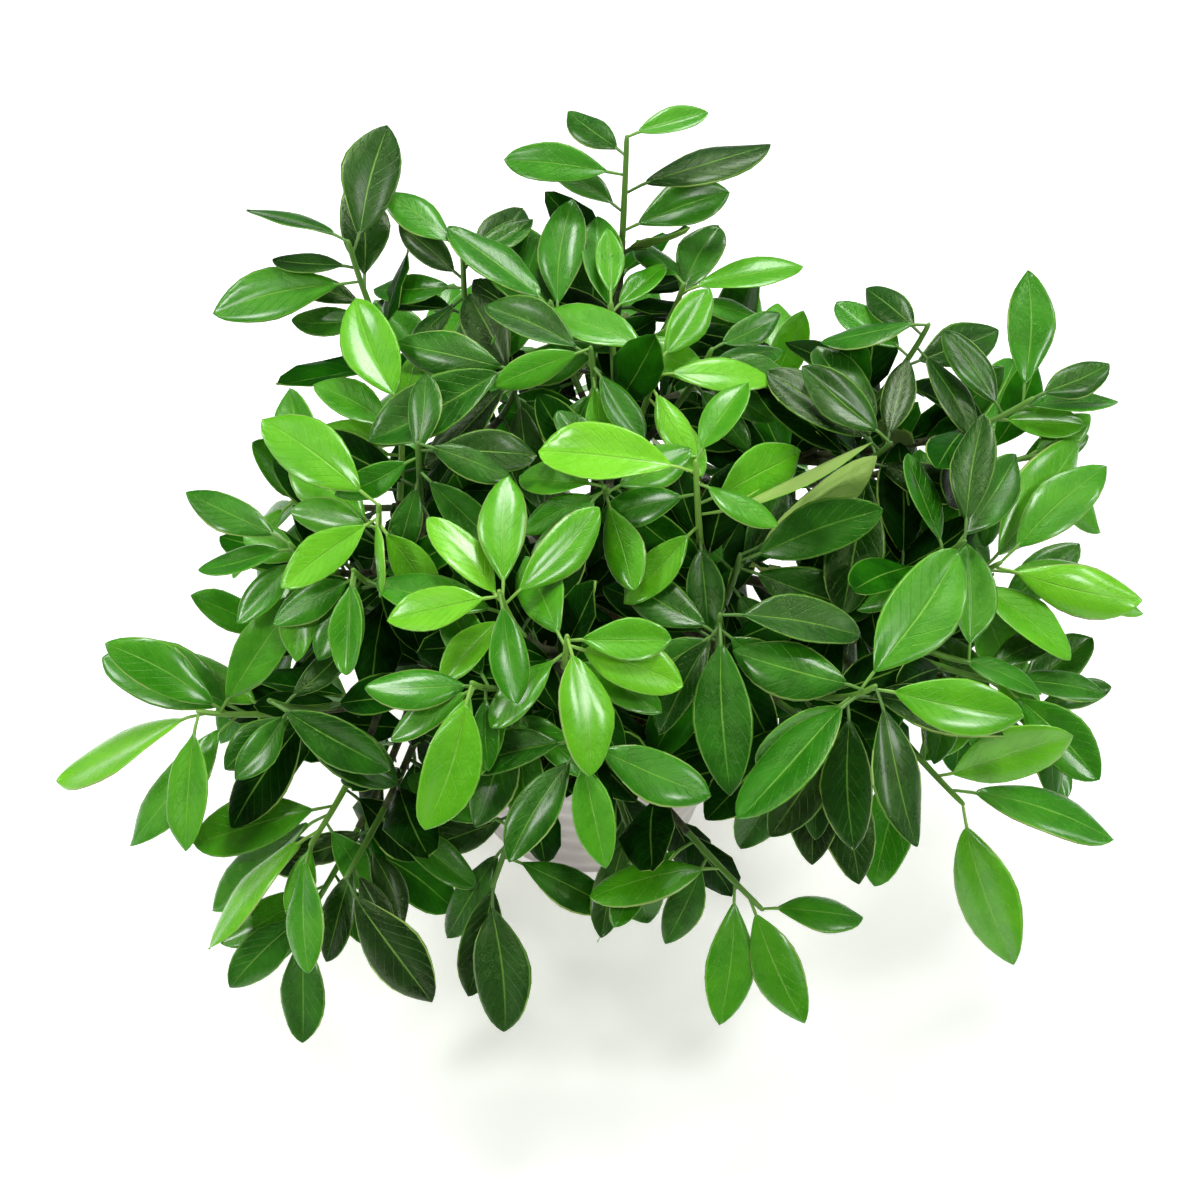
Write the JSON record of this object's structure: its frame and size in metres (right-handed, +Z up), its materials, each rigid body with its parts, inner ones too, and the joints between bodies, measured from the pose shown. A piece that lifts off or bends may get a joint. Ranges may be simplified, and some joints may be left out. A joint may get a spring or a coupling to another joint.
{
  "type": "potted calamondin tree",
  "caption": "Small bushy citrus tree in a tapered, hooped pot of soil: short trunk, spreading boughs and glossy pointed leaves; stands free as a house plant.",
  "frame": {"origin": "middle of the pot's flat base, on the floor", "axes": "+Z up along the pot's axis, -Y toward the front of the plant, +X to the right as seen from the front"},
  "size_m": [0.4794, 0.429, 0.3671],
  "materials": {
    "pot": "satin, pale grey-pink, moulded hoops",
    "soil": "rough, damp bark and peat mix",
    "bark": "matt, grey-brown bark",
    "leaf": "glossy, waxy green leaf"
  },
  "bodies": {
    "root": {"back_left_high": "leaf", "bright_left": "leaf", "centre": "leaf", "centre_left": "leaf", "centre_right": "leaf", "crown": "leaf", "crown_left": "leaf", "dark_left": "leaf", "far_left": "leaf", "front_left_low": "leaf", "front_left_mid": "leaf", "front_low": "leaf", "hang_front": "leaf", "hang_left": "leaf", "hang_middle": "leaf", "high_back_right": "leaf", "high_front": "leaf", "high_front_left": "leaf", "high_left": "leaf", "high_middle": "leaf", "inner_left": "leaf", "inner_middle": "leaf", "inner_right": "leaf", "left": "leaf", "left_inner": "leaf", "left_low": "leaf", "left_under": "leaf", "low_left": "leaf", "low_left_tip": "leaf", "low_right": "leaf", "pot": "pot", "rear": "leaf", "rear_high": "leaf", "rear_high_left": "leaf", "rear_high_right": "leaf", "rear_left": "leaf", "rear_left_low": "leaf", "rear_right": "leaf", "rear_right_low": "leaf", "right": "leaf", "right_edge": "leaf", "right_far_low": "leaf", "right_front": "leaf", "right_inner": "leaf", "right_low": "leaf", "right_mid": "leaf", "right_mid_inner": "leaf", "right_top": "leaf", "right_top_low": "leaf", "right_under": "leaf", "side_left": "leaf", "side_left_low": "leaf", "side_right": "leaf", "side_right_low": "leaf", "soil": "soil", "top": "leaf", "trunk": "bark", "upper_left": "leaf", "upper_right": "leaf"}
  },
  "joints": []
}
